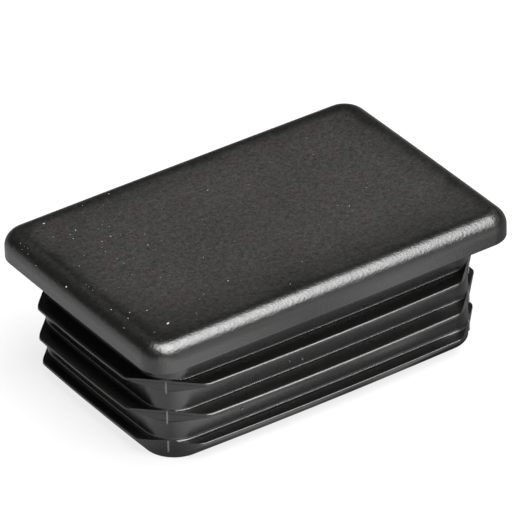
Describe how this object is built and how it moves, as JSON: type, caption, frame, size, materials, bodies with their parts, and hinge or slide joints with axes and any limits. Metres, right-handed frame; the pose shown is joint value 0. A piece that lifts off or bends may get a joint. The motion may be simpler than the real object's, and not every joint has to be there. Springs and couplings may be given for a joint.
{
  "type": "tube end cap",
  "caption": "Rectangular ribbed push-in cap that closes the open end of a box section tube, with a flat rounded head and a hollow finned shank.",
  "frame": {"origin": "middle of the head's underside, the plane that sits on the end of the tube", "axes": "+X along the long side of the head, +Y along its short side, +Z out of the tube through the head"},
  "size_m": [0.06, 0.04, 0.0212],
  "materials": {
    "black_plastic": "satin black moulded polyethylene with a fine even grain"
  },
  "bodies": {
    "root": {"end_cap": "black_plastic"}
  },
  "joints": []
}
